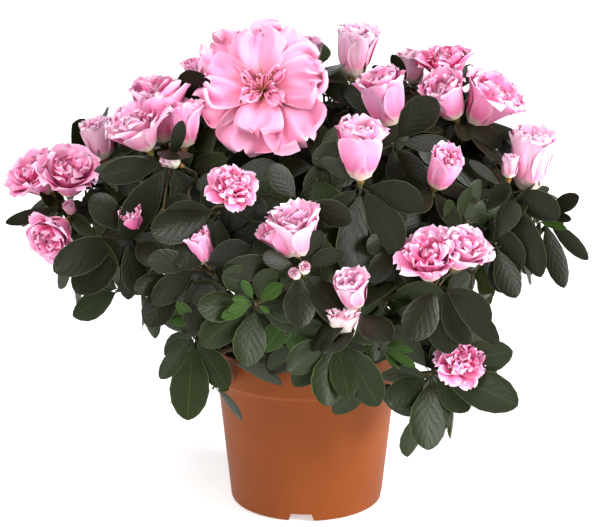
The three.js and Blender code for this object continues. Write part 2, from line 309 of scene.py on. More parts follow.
only(pot)
bpy.ops.object.shade_smooth_by_angle(angle=math.radians(32))
pot_material, pot_shader = new_material("terracotta_plastic", paint(134, 68, 30), 0.5)
pot_shader.inputs["Specular IOR Level"].default_value = 0.14
tint_unevenly(pot_material, pot_shader, paint(136, 68, 25), paint(128, 63, 22), 26)
fine_relief(pot_material, pot_shader, 900, 0.12, 0.1 * MM)
pot.data.materials.append(pot_material)
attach(pot, "root")
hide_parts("pot")


# ---- Compost ----------------------------------------------------------------------------------
# Damp peaty compost that fills the pot to a finger's width under the rim. Its surface is a turned
# disc, roughened, with loose crumbs lying on it.

compost_high = Vector(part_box("compost")[1])
COMPOST_TOP = compost_high.z
COMPOST_RADIUS = POT_RIM - POT_WALL - 1.2 * MM
COMPOST_FALL = 2.5 * MM
CRUMB_COUNT = 700
CRUMB_SIZE = 1.9 * MM

surface_rings = 22
compost_outline = [(1 * MM, COMPOST_TOP - 12 * MM), (COMPOST_RADIUS - 1 * MM, COMPOST_TOP - 12 * MM)]
for ring in range(surface_rings + 1):
    share = 1 - ring / surface_rings
    compost_outline.append((max(COMPOST_RADIUS * share, 1 * MM), COMPOST_TOP - COMPOST_FALL * share))
compost = turned("compost_surface", compost_outline, 96)
lumps = bpy.data.textures.new("lumps", "CLOUDS")
lumps.noise_scale = 9 * MM
roughen = compost.modifiers.new("roughen", "DISPLACE")
roughen.texture = lumps
roughen.texture_coords = "LOCAL"
roughen.direction = "Z"
roughen.mid_level = 0.6
roughen.strength = 4 * MM
only(compost)
bpy.ops.object.modifier_apply(modifier=roughen.name)
bpy.ops.object.shade_smooth_by_angle(angle=math.radians(40))
compost_material, compost_shader = new_material("peaty_compost", paint(46, 32, 22), 0.95)
tint_unevenly(compost_material, compost_shader, paint(40, 27, 19), paint(72, 50, 33), 180)
fine_relief(compost_material, compost_shader, 500, 0.8, 1 * MM)
compost.data.materials.append(compost_material)
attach(compost, "root")
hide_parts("compost")


def joined_mesh(name, points, faces, material, smooth=True):
    """One mesh from an array of points and an array of four-cornered faces."""
    mesh = bpy.data.meshes.new(name)
    mesh.vertices.add(len(points))
    mesh.vertices.foreach_set("co", np.asarray(points, dtype=np.float32).ravel())
    mesh.loops.add(faces.size)
    mesh.loops.foreach_set("vertex_index", faces.astype(np.int32).ravel())
    mesh.polygons.add(len(faces))
    mesh.polygons.foreach_set("loop_start", np.arange(0, faces.size, faces.shape[1], dtype=np.int32))
    mesh.update(calc_edges=True)
    mesh.polygons.foreach_set("use_smooth", np.full(len(faces), smooth))
    mesh.materials.append(material)
    piece = bpy.data.objects.new(name, mesh)
    bpy.context.collection.objects.link(piece)
    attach(piece, "root")
    return piece


def repeated(faces, copies, points_per_copy):
    """The faces of one small shape, renumbered for every copy of it."""
    shift = np.arange(copies)[:, None, None] * points_per_copy
    return (faces[None] + shift).reshape(-1, faces.shape[1])


def crumbs():
    """Rough little blocks strewn over the compost, each a skewed cube."""
    draw = np.random.default_rng(5)
    cube = np.array([[x, y, z] for x in (-1, 1) for y in (-1, 1) for z in (-1, 1)]) / 2
    cube_faces = np.array([[0, 1, 3, 2], [4, 6, 7, 5], [0, 4, 5, 1], [2, 3, 7, 6], [0, 2, 6, 4],
                           [1, 5, 7, 3]])
    size = CRUMB_SIZE * (0.4 + draw.random((CRUMB_COUNT, 1, 1)) ** 2)
    stretch = 0.6 + draw.random((CRUMB_COUNT, 1, 3))
    skew = draw.normal(0, 0.14, (CRUMB_COUNT, 8, 3))
    turns = draw.normal(0, 1, (CRUMB_COUNT, 3, 3))
    turns = np.linalg.qr(turns)[0]
    shapes = np.einsum("nij,nkj->nki", turns, (cube[None] + skew) * stretch * size)
    reach = (COMPOST_RADIUS - 4 * MM) * np.sqrt(draw.random(CRUMB_COUNT))
    angle = draw.random(CRUMB_COUNT) * 2 * math.pi
    height = COMPOST_TOP - COMPOST_FALL * reach / COMPOST_RADIUS + 0.5 * MM
    places = np.stack([reach * np.cos(angle), reach * np.sin(angle), height], axis=1)
    points = (shapes + places[:, None]).reshape(-1, 3)
    return points, repeated(cube_faces, CRUMB_COUNT, 8)


crumb_points, crumb_faces = crumbs()
crumb_piece = joined_mesh("compost_crumbs", crumb_points, crumb_faces, compost_material, smooth=False)


# ---- Stem and boughs --------------------------------------------------------------------------
# The short woody stem and the limbs that spring from it in a spiral, with fine-grained bark.
# Copies of the frame's limbs are joined, merged into one skin and given the bark's relief.

BARK_RELIEF = 0.7 * MM

limb_names = sorted(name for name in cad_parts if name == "stem" or name.startswith("bough_"))
limb_copies = []
for name in limb_names:
    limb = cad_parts[name].copy()
    limb.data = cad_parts[name].data.copy()
    limb.data.materials.clear()
    bpy.context.collection.objects.link(limb)
    limb_copies.append(limb)
only(limb_copies[0])
for limb in limb_copies:
    limb.select_set(True)
bpy.ops.object.join()
wood = bpy.context.object
wood.name = "stem_and_boughs"
wood.parent = None
wood.matrix_world = Matrix.Identity(4)
bpy.ops.object.mode_set(mode="EDIT")
bpy.ops.mesh.select_all(action="SELECT")
bpy.ops.mesh.remove_doubles(threshold=0.01 * MM)
bpy.ops.object.mode_set(mode="OBJECT")
skin = wood.modifiers.new("skin", "REMESH")
skin.mode = "VOXEL"
skin.voxel_size = 0.9 * MM
soften = wood.modifiers.new("soften", "SMOOTH")
soften.factor = 0.5
soften.iterations = 3
bark = bpy.data.textures.new("bark", "WOOD")
bark.wood_type = "BANDNOISE"
bark.noise_scale = 6 * MM
bark.turbulence = 12
relief = wood.modifiers.new("relief", "DISPLACE")
relief.texture = bark
relief.texture_coords = "LOCAL"
relief.strength = BARK_RELIEF
for name in ("skin", "soften", "relief"):
    bpy.ops.object.modifier_apply(modifier=name)
bpy.ops.object.shade_smooth()
bark_material, bark_shader = new_material("bark", paint(84, 60, 42), 0.9)
tint_unevenly(bark_material, bark_shader, paint(70, 50, 35), paint(110, 84, 60), 120)
fine_relief(bark_material, bark_shader, 700, 0.6, 0.6 * MM)
wood.data.materials.append(bark_material)
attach(wood, "root")
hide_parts(*limb_names)


# ---- Where the shoots end ---------------------------------------------------------------------
# Every mass of foliage is a spray of shoots, which end in whorls of leaves and often a bloom. The
# shoots of the best side are listed one by one; the others are dealt over each mass's skin by a
# seeded rule that keeps them apart.

CM = 10 * MM
UP = Vector((0, 0, 1))
HEART = Vector((0, 0, 175 * MM))
SHOOT_SPACING = 31 * MM
INNER_SPACING = 35 * MM
BACK_SPACING = 24 * MM
SHOOT_INSET = 28 * MM
INNER_INSET = 46 * MM
BLOOM_SPACING = 47 * MM
SKIRT_SHOOTS = 15
SKIRT_FROM = 92
SKIRT_SWEEP = 176
LOWEST_BLOOM = -0.15
BLOOM_SKIPPED = 0.15
DEALT_KINDS = ["bud", "bud", "half", "half", "half", "open", "rosette"]
DEALT_LENGTHS = {"bud": 30 * MM, "half": 35 * MM, "open": 38 * MM, "rosette": 20 * MM}
DEALT_TINTS = ["pale", "mid", "mid", "deep"]

mass_names = sorted(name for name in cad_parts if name.startswith("foliage_"))


def facing(turn, tilt):
    """The direction at a turn from -Y towards +X, and a tilt up from level, in degrees."""
    a, e = math.radians(turn), math.radians(tilt)
    return Vector((math.sin(a) * math.cos(e), -math.cos(a) * math.cos(e), math.sin(e)))


def shoot(place, axis, kind, size=0.0, tint="mid", leaves=6, leaf=40 * MM, hands=(),
          tone=""):
    """A shoot tip: what it carries, how large, and how many leaves of what length. Hands are
    leaves set one by one, like the hands of a clock seen from the best side."""
    return {"place": Vector(place), "axis": axis.normalized(), "kind": kind, "size": size,
            "tint": tint, "leaves": leaves, "leaf": leaf, "hands": hands, "tone": tone}


# The best side's blooms: kind, place of the base (cm), facing (turn, tilt), petal length (mm),
# tint, and how many leaves stand under it.
BEST_BLOOMS = [
    ("open", (-2.7, -5.4, 28.9), (-4, 30), 40, "mid", 0),
    ("bud", (0.2, 1.0, 29.2), (60, 84), 18, "pale", 5),
    ("bud", (-6.9, 0.0, 28.0), (-80, 76), 19, "mid", 5),
    ("cup", (2.9, -1.0, 28.8), (80, 84), 35, "pale", 5),
    ("cup", (5.2, -6.0, 26.8), (-60, 74), 38, "mid", 2),
    ("cup", (3.2, -11.5, 24.8), (0, 84), 39, "mid", 0),
    ("cup", (6.9, 0.0, 28.2), (-80, 86), 22, "pale", 5),
    ("half", (9.0, -1.5, 28.2), (-40, 80), 29, "deep", 5),
    ("cup", (9.3, -4.5, 27.0), (-46, 60), 33, "mid", 4),
    ("half", (10.3, -4.0, 26.4), (66, 54), 37, "mid", 5),
    ("cup", (13.7, -6.0, 22.6), (90, 82), 42, "pale", 2),
    ("bud", (12.5, -7.0, 23.8), (60, 84), 15, "pale", 0),
    ("bud", (7.8, -10.0, 24.0), (40, 60), 29, "mid", 5),
    ("half", (7.5, -12.5, 18.9), (-14, 62), 30, "mid", 0),
    ("half", (8.9, -12.0, 19.5), (40, 56), 27, "pale", 0),
    ("rosette", (9.1, -12.2, 13.1), (16, 38), 19, "mid", 0),
    ("cup", (2.9, -15.0, 17.9), (-26, 66), 24, "pale", 3),
    ("cup", (2.2, -14.6, 15.7), (0, 78), 24, "cream", 0),
    ("cup", (-0.3, -14.0, 20.8), (-40, 72), 33, "pale", 0),
    ("bud", (-0.6, -13.6, 20.8), (-76, 48), 27, "mid", 0),
    ("rosette", (-4.6, -12.8, 24.2), (16, 46), 18, "mid", 0),
    ("bud", (-6.0, -12.5, 19.9), (-54, 66), 25, "mid", 0),
    ("cup", (-8.9, -5.0, 25.5), (-70, 82), 43, "mid", 0),
    ("half", (-9.8, -6.0, 25.3), (-56, 60), 32, "pale", 3),
    ("bud", (-7.6, -6.5, 25.6), (80, 86), 31, "mid", 3),
    ("cup", (-12.9, -2.0, 23.7), (-80, 74), 27, "pale", 5),
    ("half", (-15.2, -3.0, 21.7), (10, 56), 32, "mid", 0),
    ("half", (-16.5, -1.0, 21.2), (-60, 50), 29, "mid", 3),
    ("half", (-15.2, -5.0, 20.4), (-30, -20), 27, "mid", 0),
    ("bud", (-10.5, -9.5, 20.9), (-24, 62), 20, "deep", 3),
    ("bud", (-14.8, -5.0, 21.0), (-40, 60), 8, "pale", 0),
    ("bud", (-7.9, -8.4, 25.0), (-60, 30), 11, "cream", 0),
    ("bud", (-0.2, -14.9, 20.1), (10, 50), 6.5, "cream", 0),
    ("bud", (-0.6, -14.9, 19.8), (-30, 40), 6, "cream", 0),
]

# The best side's shoots with their leaves set one by one: place (cm), then for each leaf the
# clock direction in degrees, its length (mm) and its half breadth as a share of the length.
BEST_WHORLS = [
    ((-6.4, -13.2, 19.9), [(240, 32, .24), (186, 36, .25), (62, 32, .28), (285, 30, .24)]),
    ((-0.5, -14.6, 20.2), [(275, 43, .2), (178, 30, .29), (133, 44, .24), (63, 27, .2), (300, 22, .22),
                           (27, 26, .26)]),
    ((-3.1, -14.4, 17.9), [(188, 32, .3), (237, 38, .27), (114, 28, .26), (333, 30, .26), (274, 32, .28),
                           (20, 26, .24), (95, 26, .26)]),
    ((-6.9, -13.2, 15.5), [(184, 45, .25), (222, 29, .2), (146, 36, .24), (245, 18, .18),
                           (330, 22, .22), (60, 26, .24)]),
    ((1.7, -14.6, 15.9), [(187, 36, .29), (144, 43, .25), (165, 32, .24), (223, 36, .24),
                          (242, 30, .28), (290, 24, .28), (75, 30, .24)]),
    ((7.6, -12.0, 12.7), [(182, 40, .28), (130, 29, .3), (163, 32, .26), (95, 50, .22), (67, 50, .25),
                          (236, 29, .32), (323, 42, .18)]),
    ((8.0, -13.0, 18.7), [(172, 40, .28), (213, 32, .3), (118, 33, .26), (127, 44, .14),
                          (153, 38, .24)]),
    ((12.3, -7.0, 23.0), [(111, 35, .27), (154, 50, .16), (314, 28, .12), (257, 28, .24)]),
    ((11.0, -8.6, 21.8), [(145, 38, .25), (30, 24, .24), (250, 26, .26)]),
    ((15.0, -4.0, 20.5), [(130, 36, .14), (163, 42, .16), (55, 24, .24), (90, 15, .2), (205, 24, .16)]),
    ((11.6, -9.5, 20.3), [(158, 31, .26), (172, 29, .26), (20, 28, .26), (280, 28, .26)]),
    ((-15.3, -3.5, 21.0), [(262, 35, .12), (165, 33, .24), (100, 26, .2)]),
    ((-11.0, -10.0, 20.9), [(253, 44, .22), (226, 42, .27), (180, 38, .2), (166, 32, .24),
                            (100, 26, .26), (325, 32, .28)]),
    ((-7.8, -13.0, 19.2), [(214, 31, .3), (260, 24, .26), (120, 26, .26)]),
    ((-8.4, -8.8, 25.2), [(266, 40, .2), (216, 48, .2), (150, 34, .3), (16, 28, .16)]),
    ((-5.3, -12.2, 23.0), [(262, 38, .26), (276, 30, .26), (75, 28, .28), (185, 30, .3),
                           (220, 36, .28)]),
    ((3.2, -11.8, 24.6), [(184, 52, .23), (145, 42, .25), (101, 36, .25), (312, 28, .16),
                          (222, 30, .26)]),
    ((-0.5, -12.4, 23.6), [(268, 32, .27), (205, 32, .27), (100, 30, .26), (330, 28, .26)]),
    ((5.2, -8.8, 26.4), [(81, 34, .17), (138, 28, .24), (173, 24, .22), (40, 38, .28)]),
    ((-1.4, -4.6, 25.1), [(138, 44, .26), (178, 34, .26), (222, 36, .26), (255, 36, .26),
                          (95, 30, .26)]),
    ((-6.4, -4.6, 27.2), [(345, 32, .3), (250, 28, .26), (200, 30, .26)]),
    ((6.4, -2.5, 28.6), [(335, 22, .18), (90, 26, .24), (230, 28, .24)]),
]

# Young bright green sprouts, given in the same way.
BEST_SPROUTS = [
    ((-3.1, -15.2, 18.2), [(48, 19, .22), (335, 15, .18), (292, 12, .2), (252, 19, .2), (262, 14, .22),
                           (120, 8, .2)]),
    ((14.3, -5.6, 20.6), [(172, 24, .16), (98, 18, .14), (205, 20, .14)]),
    ((4.5, -13.6, 14.8), [(84, 17, .14), (108, 20, .13), (60, 12, .14), (136, 12, .14)]),
    ((-6.7, -13.5, 16.2), [(330, 19, .2), (20, 14, .2), (60, 17, .2), (290, 15, .18)]),
    ((-1.2, -13.0, 15.6), [(95, 22, .22), (130, 18, .22), (60, 20, .2)]),
]

# More of the best side's leafy shoots, which lie a little deeper: place (cm) and facing.
BEST_FILLERS = [
    ((-13.4, -6.5, 19.4), (-50, 6)), ((-9.4, -9.4, 22.0), (-40, 20)), ((-12.0, -5.0, 22.4), (-50, 26)),
    ((-7.4, -7.0, 24.2), (-34, 34)), ((-4.6, -9.0, 24.8), (-20, 34)), ((0.6, -8.6, 25.4), (0, 36)),
    ((3.6, -8.0, 26.2), (20, 40)), ((8.6, -8.0, 24.6), (40, 30)), ((9.8, -9.8, 21.8), (44, 14)),
    ((12.8, -6.4, 20.4), (60, 0)), ((14.6, -1.0, 21.6), (84, 10)), ((-16.0, 0.5, 19.8), (-86, 0)),
    ((-5.0, -12.0, 21.4), (-20, 10)), ((-2.6, -11.8, 22.0), (-10, 16)), ((2.4, -12.2, 21.8), (8, 16)),
    ((5.6, -12.0, 21.0), (20, 10)), ((0.8, -12.8, 18.4), (0, 0)), ((4.8, -12.6, 17.4), (14, -4)),
    ((-5.0, -12.2, 16.8), (-20, -10)), ((-0.4, -12.0, 16.8), (0, -10)), ((6.4, -11.2, 14.6), (24, -20)),
    ((10.0, -10.4, 15.6), (40, -10)), ((-8.6, -10.6, 17.8), (-36, -10)), ((7.4, 0.4, 27.6), (60, 50)),
    ((-8.4, -1.6, 26.2), (-50, 50)), ((10.0, -3.6, 25.4), (60, 40)), ((5.4, -5.0, 26.6), (30, 50)),
    ((-10.6, -3.6, 24.4), (-60, 40)), ((4.2, -4.6, 27.0), (10, 40)), ((2.6, -4.0, 27.6), (0, 50)),
]

# Where the background shows through the best side's edge, and the face of the open flower: across,
# height and radius (cm) on the upright plane through the pot's axis. No dealt leaf is left in one.
GAPS = [(-14.1, 11.2, 2.0), (-11.1, 9.3, 1.5), (-10.6, 7.0, 1.8), (-9.4, 4.8, 1.6),
        (-6.4, 5.6, 1.2), (12.9, 12.2, 0.9), (14.3, 12.0, 1.5), (16.5, 13.3, 1.8),
        (17.6, 21.6, 1.6), (6.2, 4.9, 1.2), (4.9, 5.6, 1.4), (11.6, 4.6, 1.6), (7.8, 11.7, 0.8),
        (-3.1, 6.6, 1.6), (-0.4, 6.2, 1.5), (2.8, 4.6, 1.2), (-9.0, 14.8, 0.4), (12.9, 19.6, 0.3),
        (-12.4, 14.8, 1.5), (-9.3, 14.4, 0.8), (13.8, 14.0, 0.9), (11.7, 12.2, 1.1), (-2.2, 27.0, 3.4)]


def as_seen(point):
    """Where a point falls, from the camera, on the upright plane through the pot's axis."""
    share = -CAMERA_PLACE.y / (point.y - CAMERA_PLACE.y)
    seen = CAMERA_PLACE.lerp(point, share)
    return seen.x, seen.z


def in_gap(point):
    across, height = as_seen(point)
    return any(math.hypot(across - x * CM, height - z * CM) < radius * CM for x, z, radius in GAPS)


def best_side_shoots():
    shoots = []
    for kind, place, (turn, tilt), petal, tint, leaves in BEST_BLOOMS:
        shoots.append(shoot(Vector(place) * CM, facing(turn, tilt), kind, petal * MM, tint, leaves))
    for place, hands in BEST_WHORLS:
        tone = "dark" if place[2] > 18 else "deep"
        shoots.append(shoot(Vector(place) * CM, facing(0, 24), "leafy", leaves=0, hands=hands,
                            tone=tone))
    for place, hands in BEST_SPROUTS:
        shoots.append(shoot(Vector(place) * CM, facing(0, 24), "leafy", leaves=0, hands=hands,
                            tone="fresh"))
    for place, (turn, tilt) in BEST_FILLERS:
        shoots.append(shoot(Vector(place) * CM, facing(turn, tilt), "leafy", leaves=7, leaf=34 * MM))
    return shoots


def mass_skins():
    """For each mass, its corner points and its triangles with their areas and normals."""
    skins = {}
    for name in mass_names:
        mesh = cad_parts[name].data
        corners = np.array([vertex.co for vertex in mesh.vertices])
        mesh.calc_loop_triangles()
        faces = np.array([triangle.vertices for triangle in mesh.loop_triangles])
        cross = np.cross(corners[faces[:, 1]] - corners[faces[:, 0]],
                         corners[faces[:, 2]] - corners[faces[:, 0]])
        area = np.linalg.norm(cross, axis=1)
        skins[name] = (corners, faces, area, cross / np.maximum(area, 1e-12)[:, None])
    return skins


def is_covered(place, direction, trees):
    """Whether another part of the crown lies further out."""
    start = place + direction * 3 * MM
    return any(tree.ray_cast(start, direction, 0.12)[0] is not None for tree in trees)


def dealt_shoots(taken, spacing, inset, tries, seed, foremost=-1.0):
    """Shoot tips strewn over the outer skin of every mass, no two closer than the spacing and none
    further forward than the foremost Y."""
    draw = random.Random(seed)
    skins = mass_skins()
    trees = [BVHTree.FromPolygons(corners.tolist(), faces.tolist())
             for corners, faces, _, _ in skins.values()]
    shoots = []
    for name in mass_names:
        corners, faces, area, normals = skins[name]
        picks = draw.choices(range(len(faces)), weights=area.tolist(), k=tries)
        for pick in picks:
            a, b = sorted((draw.random(), draw.random()))
            p, q, r = corners[faces[pick]]
            skin_point = Vector(p * a + q * (b - a) + r * (1 - b))
            outward = (skin_point - HEART).normalized()
            normal = Vector(normals[pick])
            if skin_point.y < foremost or normal.dot(outward) < 0.2:
                continue
            if is_covered(skin_point, outward, trees):
                continue
            axis = (outward + normal * 0.5 + UP * 0.3).normalized()
            place = skin_point - outward * inset
            if min((place - other["place"]).length for other in taken + shoots) < spacing:
                continue
            shoots.append(shoot(place, axis, "leafy", 0, "mid", draw.randint(5, 8),
                                draw.uniform(29, 40) * MM))
    return shoots


def deal_blooms(shoots, best):
    """Gives a few of the dealt shoots a bloom, none too near another."""
    draw = random.Random(23)
    blooming = [one["place"] for one in best if one["kind"] != "leafy"]
    for one in shoots:
        outward = (one["place"] - HEART).normalized()
        if outward.z < LOWEST_BLOOM or draw.random() < BLOOM_SKIPPED:
            continue
        if min((one["place"] - other).length for other in blooming) < BLOOM_SPACING:
            continue
        if outward.y < 0.3 or (outward.y < 0.6 and outward.z > 0.6):
            continue
        kind = draw.choice(DEALT_KINDS)
        length = DEALT_LENGTHS[kind] * draw.uniform(0.85, 1.12)
        one.update(kind=kind, size=length, tint=draw.choice(DEALT_TINTS))
        blooming.append(one["place"])


def skirt_shoots():
    """The low shoots round the sides and the back, which hang over the pot's rim."""
    draw = random.Random(31)
    shoots = []
    for i in range(SKIRT_SHOOTS):
        turn = SKIRT_FROM + SKIRT_SWEEP * (i + draw.uniform(-0.3, 0.3)) / (SKIRT_SHOOTS - 1)
        place = facing(turn, 0) * draw.uniform(82, 108) * MM + UP * draw.uniform(138, 158) * MM
        axis = facing(turn, draw.uniform(-25, 10))
        shoots.append(shoot(place, axis, "leafy", leaves=7, leaf=draw.uniform(30, 38) * MM))
    return shoots


best_shoots = best_side_shoots()
outer_shoots = dealt_shoots(best_shoots, SHOOT_SPACING, SHOOT_INSET, 220, 3)
deal_blooms(outer_shoots, best_shoots)
inner_shoots = dealt_shoots(best_shoots + outer_shoots, INNER_SPACING, INNER_INSET, 140, 4)
all_shoots = best_shoots + outer_shoots + inner_shoots
all_shoots += dealt_shoots(all_shoots, BACK_SPACING, SHOOT_INSET, 260, 5, foremost=10 * MM)
all_shoots += skirt_shoots()


# ---- Twigs ------------------------------------------------------------------------------------
# From each bough's end the wood forks and forks again until every shoot has its own twig. Twigs
# are brown with soft olive patches, and the last stretch under a whorl is thin.

TWIG_START = 1.7 * MM
TWIG_END = 0.75 * MM
LEAFY_STRETCH = 25 * MM
FORK_SHARE = 0.42
TUBE_SIDES = 6
TUBE_RINGS = 6


def limb_end(name):
    """The middle of a bough's far end."""
    points = [vertex.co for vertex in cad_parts[name].data.vertices]
    stem_middle = Vector((0, 0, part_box("stem")[0][2]))
    reach = max((point - stem_middle).length for point in points)
    end = [point for point in points if (point - stem_middle).length > reach - 5 * MM]
    return sum(end, Vector()) / len(end)


def grow(start, radius, tips, twigs):
    """Forks the wood towards two halves of the tips, until one tip is left."""
    if len(tips) == 1:
        end, axis = tips[0]["place"], tips[0]["axis"]
        knee = end - axis * min(LEAFY_STRETCH, (end - start).length * 0.6)
        bend = knee - axis * (knee - start).length * 0.35
        twigs.append((start, bend, knee, radius, TWIG_END * 1.2))
        twigs.append((knee, knee.lerp(end, 0.5), end, TWIG_END * 1.2, TWIG_END))
        return
    places = np.array([tip["place"] for tip in tips])
    widest = int(np.argmax(places.max(axis=0) - places.min(axis=0)))
    ranked = sorted(tips, key=lambda tip: tip["place"][widest])
    half = len(ranked) // 2
    for group in (ranked[:half], ranked[half:]):
        middle = sum((tip["place"] for tip in group), Vector()) / len(group)
        fork = start.lerp(middle, FORK_SHARE)
        child = max(radius * (len(group) / len(tips)) ** 0.4, TWIG_END)
        bend = start.lerp(fork, 0.5) - UP * (fork - start).length * 0.06
        twigs.append((start, bend, fork, radius, child))
        grow(fork, child, group, twigs)


def tubes(name, twigs, material):
    """Thin tapering tubes, each bent through three points, as one mesh."""
    share = np.linspace(0, 1, TUBE_RINGS)[None, :, None]
    first, bend, last = (np.array([twig[i] for twig in twigs])[:, None] for i in range(3))
    path = first * (1 - share) ** 2 + bend * 2 * share * (1 - share) + last * share ** 2
    along = (bend - first) * (1 - share) + (last - bend) * share
    along /= np.maximum(np.linalg.norm(along, axis=2, keepdims=True), 1e-9)
    side = np.cross(along, np.array([0.37, 0.21, 0.9]))
    side /= np.linalg.norm(side, axis=2, keepdims=True)
    across = np.cross(side, along)
    start_radius, end_radius = (np.array([twig[i] for twig in twigs])[:, None, None] for i in (3, 4))
    radius = (start_radius * (1 - share) + end_radius * share)[..., None]
    angle = np.arange(TUBE_SIDES) * 2 * math.pi / TUBE_SIDES
    ring = (side[:, :, None] * np.cos(angle)[None, None, :, None]
            + across[:, :, None] * np.sin(angle)[None, None, :, None])
    points = path[:, :, None] + ring * radius
    faces = []
    for row in range(TUBE_RINGS - 1):
        for j in range(TUBE_SIDES):
            k = (j + 1) % TUBE_SIDES
            low, high = row * TUBE_SIDES, (row + 1) * TUBE_SIDES
            faces.append([low + j, high + j, high + k, low + k])
    per_tube = TUBE_RINGS * TUBE_SIDES
    for end, order in ((0, 1), (per_tube - TUBE_SIDES, -1)):
        for corners in ([0, 1, 2, 3], [0, 3, 4, 5]):
            faces.append([end + corner for corner in corners][::order])
    return joined_mesh(name, points.reshape(-1, 3), repeated(np.array(faces), len(twigs), per_tube),
                       material)


mass_middles = {name: sum((Vector(corner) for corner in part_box(name)), Vector()) / 2
                for name in mass_names}
sprays = {name: [] for name in mass_names}
for one in all_shoots:
    nearest = min(mass_names, key=lambda name: (mass_middles[name] - one["place"]).length)
    sprays[nearest].append(one)
twigs = []
for name in mass_names:
    if sprays[name]:
        grow(limb_end(name.replace("foliage_", "bough_")), TWIG_START, sprays[name], twigs)
twig_material, twig_shader = new_material("twig", paint(70, 54, 34), 0.85)
tint_unevenly(twig_material, twig_shader, paint(58, 44, 30), paint(82, 72, 36), 60)
twig_piece = tubes("twigs", twigs, twig_material)


# ---- Leaves -----------------------------------------------------------------------------------
# Leathery evergreen leaves, broadest beyond the middle, with a sunken midrib, a pale underside
# and a thin pale line along the edge, a painted highlight where the curled-under edge catches the
# light. They stand in whorls at the shoot tips and bend down under their weight.

LEAF_SHARES = np.array([0, 0.09, 0.25, 0.44, 0.63, 0.8, 0.92, 0.975, 1.0])
LEAF_ROWS = len(LEAF_SHARES)
LEAF_RING = 8            # points round a leaf: five across the top, three more beneath
LEAF_THICKNESS = 0.5 * MM
LEAF_BREADTH = 0.245     # half the width, as a share of the length
WHORL_SPREAD = (56, 98)  # degrees from the shoot's axis


def leaf_outline(share):
    """Half the leaf's width along its length, as a share of the widest half width."""
    stalk = 0.08
    blade = np.clip((share - stalk) / (1 - stalk), 0, 1)
    base = np.sin(np.clip(blade / 0.57, 0, 1) * math.pi / 2) ** 0.9
    end = np.clip((blade - 0.57) / 0.43, 0, 1)
    return np.maximum(base * (1 - end ** 2.1) ** 0.62, 0.04)


def leaf_faces():
    """Faces of one leaf and the map place of every face corner."""
    faces, maps = [], []
    rows = LEAF_SHARES.tolist()
    for row in range(LEAF_ROWS - 1):
        for j in range(LEAF_RING):
            k = (j + 1) % LEAF_RING
            low, high = row * LEAF_RING, (row + 1) * LEAF_RING
            left, right = j / LEAF_RING, (j + 1) / LEAF_RING
            corners = [low + j, low + k, high + k, high + j]
            spots = [[left, rows[row]], [right, rows[row]],
                     [right, rows[row + 1]], [left, rows[row + 1]]]
            mirrored = 2 <= j < 4 or 6 <= j
            faces.append(corners[1:] + corners[:1] if mirrored else corners)
            maps.append(spots[1:] + spots[:1] if mirrored else spots)
    last = (LEAF_ROWS - 1) * LEAF_RING
    for corners in ([0, 1, 2, 7], [7, 2, 3, 6], [6, 3, 4, 5]):
        faces.append(corners[::-1])
        faces.append([last + corner for corner in corners])
        maps += [[[0.25, 0.02]] * 4, [[0.25, 0.98]] * 4]
    return np.array(faces), np.array(maps)


def blades(leaves):
    """Points of every leaf; each bends down along its length and cups across its width."""
    base, ahead, face = (np.array([leaf[key] for leaf in leaves]) for key in ("base", "ahead", "face"))
    length, breadth, droop, cup, wave = (
        np.array([leaf[key] for leaf in leaves])[:, None]
        for key in ("length", "breadth", "droop", "cup", "wave"))
    across = np.array([-1, -0.5, 0, 0.5, 1, 0.5, 0, -0.5])
    is_under = np.array([0, 0, 0, 0, 0, 1, 1, 1])
    place, direction, up = base.copy(), ahead.copy(), face.copy()
    rings = []
    steps = np.diff(LEAF_SHARES, append=1)
    for share, half, step in zip(LEAF_SHARES, leaf_outline(LEAF_SHARES), steps):
        up -= direction * np.sum(up * direction, axis=1, keepdims=True)
        up /= np.linalg.norm(up, axis=1, keepdims=True)
        side = np.cross(direction, up)
        reach = breadth * half
        dip = cup * reach * np.abs(across) ** 1.7 - 0.12 * reach * np.exp(-(across / 0.3) ** 2) * -1
        ripple = wave * reach * np.sin(9 * share + 3 * across)
        height = -dip + ripple - is_under * LEAF_THICKNESS
        rings.append(place[:, None] + side[:, None] * (reach * across)[..., None]
                     + up[:, None] * height[..., None])
        place = place + direction * length * step
        direction = direction + np.array([0, 0, -1.0]) * droop * step
        direction = direction - up * droop * 0.35 * step
        direction /= np.linalg.norm(direction, axis=1, keepdims=True)
    return np.stack(rings, axis=1)


def clock_leaf(one, hand, draw):
    """One leaf set like the hand of a clock seen from the best side, leaning to the viewer."""
    clock, length, breadth = hand
    turn = math.radians(clock)
    lean = math.radians(draw.uniform(6, 30))
    roll = math.radians(draw.uniform(-24, 24))
    hand_way = Vector((math.sin(turn), 0, math.cos(turn)))
    viewer = Vector((0, -1, 0))
    ahead = hand_way * math.cos(lean) + viewer * math.sin(lean)
    face = viewer * math.cos(lean) - hand_way * math.sin(lean) + UP * 0.25
    face = face + ahead.cross(face) * math.tan(roll)
    length = length * MM / math.cos(lean)
    return {"base": one["place"] + hand_way * 2 * MM, "ahead": ahead, "face": face.normalized(),
            "length": length, "breadth": length * breadth, "droop": draw.uniform(0.0, 0.3),
            "cup": draw.uniform(0.08, 0.3), "wave": draw.uniform(0.0, 0.05)}


